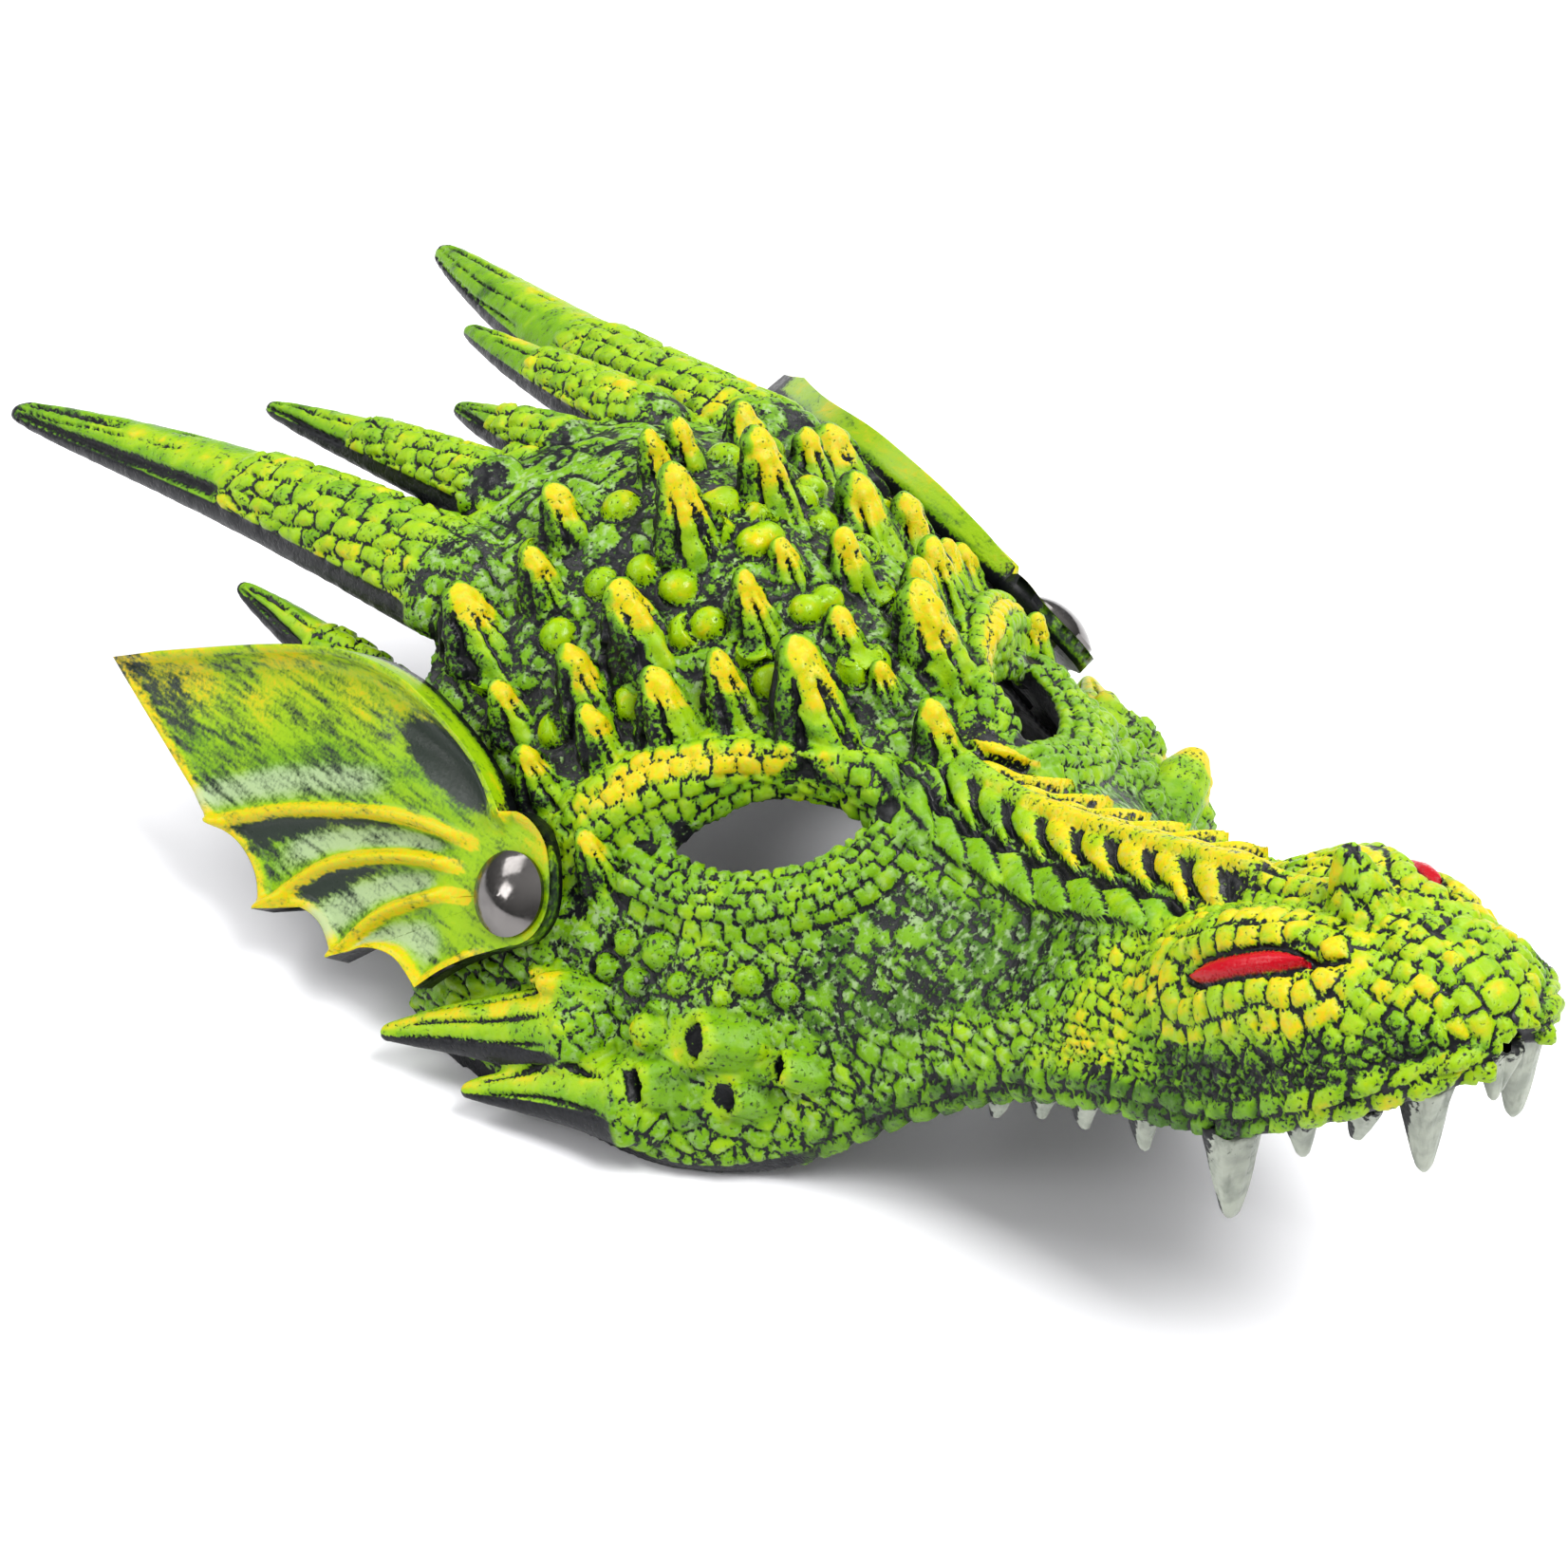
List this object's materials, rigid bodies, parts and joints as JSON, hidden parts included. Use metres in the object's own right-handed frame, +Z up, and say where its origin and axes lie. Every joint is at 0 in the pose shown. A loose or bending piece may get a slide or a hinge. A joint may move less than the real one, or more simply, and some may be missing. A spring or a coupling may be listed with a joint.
{
  "type": "dragon half mask",
  "caption": "Hollow moulded foam dragon half mask with swept horns, eye holes, a toothed snout, riveted ear fins and an elastic strap.",
  "frame": {"origin": "on the table plane under the middle of the mask's bounding box", "axes": "+Z up from the table, out of the wearer's face; -Y towards the snout tip, +Y towards the horn tips; -X is the wearer's right"},
  "size_m": [0.173, 0.3543, 0.0946],
  "materials": {
    "foam_skin": "black foam dry-brushed in green and yellow, satin",
    "tooth_paint": "grey-white paint, stained black at the roots",
    "ear_skin": "green and yellow over dark grey, satin",
    "cap_metal": "bright plated",
    "post_metal": "plain",
    "washer_plastic": "matt black",
    "strap_fabric": "woven black elastic"
  },
  "bodies": {
    "face": {"mask_shell": "foam_skin", "horns": "foam_skin", "cheek_spikes": "foam_skin", "forehead_spikes": "foam_skin", "snout_forms": "foam_skin", "teeth": "tooth_paint", "rivet_cap_right": "cap_metal", "rivet_cap_left": "cap_metal", "rivet_post_right": "post_metal", "rivet_post_left": "post_metal", "washer_right": "washer_plastic", "washer_left": "washer_plastic", "elastic_strap": "strap_fabric"},
    "right_ear": {"ear_right": "ear_skin"},
    "left_ear": {"ear_left": "ear_skin"}
  },
  "joints": [
    {"name": "right_ear_turn", "type": "hinge", "parent": "face", "child": "right_ear", "pos_m": [-0.059, -0.0102, 0.0325], "axis": [-0.8229, -0.101, 0.5592], "range_deg": [-5, 8]},
    {"name": "left_ear_turn", "type": "hinge", "parent": "face", "child": "left_ear", "pos_m": [0.059, -0.0102, 0.0325], "axis": [-0.8229, 0.101, -0.5592], "range_deg": [-5, 8]}
  ]
}
